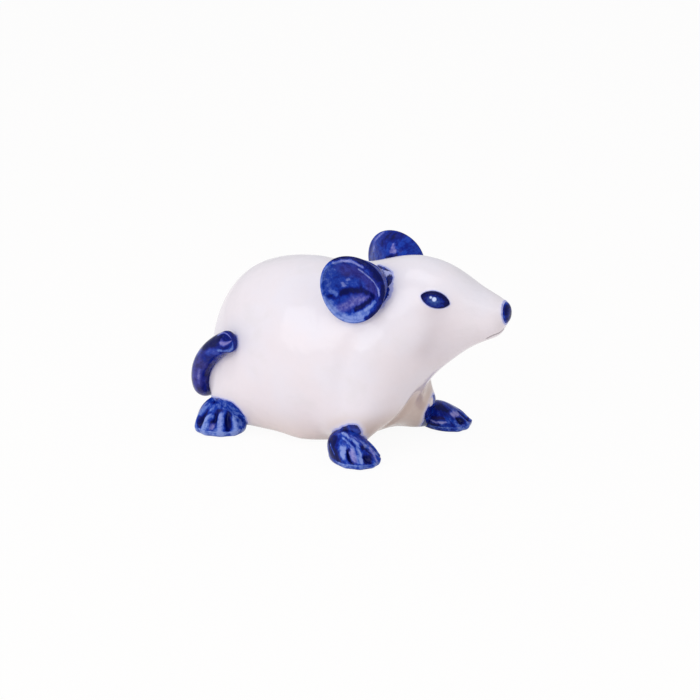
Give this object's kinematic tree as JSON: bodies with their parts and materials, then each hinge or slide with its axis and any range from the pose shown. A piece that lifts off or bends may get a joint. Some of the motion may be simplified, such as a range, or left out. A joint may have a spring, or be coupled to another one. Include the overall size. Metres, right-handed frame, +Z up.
{
  "type": "rat figurine",
  "caption": "Small glazed porcelain rat standing on its belly and paws, white with cobalt blue ears, eyes, nose, tail and paws.",
  "frame": {"origin": "on the ground, in the flat foot under the belly", "axes": "+X toward the snout, +Y to the rat's left, +Z up"},
  "size_m": [0.0896, 0.0512, 0.0553],
  "materials": {
    "white_glaze": "clear gloss glaze over white porcelain",
    "cobalt_glaze": "gloss glaze over brushed cobalt blue",
    "dark_cobalt_glaze": "gloss glaze over thick cobalt blue"
  },
  "bodies": {
    "root": {"body_shell": "white_glaze", "left_ear": "cobalt_glaze", "right_ear": "cobalt_glaze", "tail": "dark_cobalt_glaze", "front_left_paw": "cobalt_glaze", "front_right_paw": "cobalt_glaze", "rear_left_paw": "cobalt_glaze", "rear_right_paw": "cobalt_glaze", "left_eye": "dark_cobalt_glaze", "right_eye": "dark_cobalt_glaze", "nose": "dark_cobalt_glaze"}
  },
  "joints": []
}
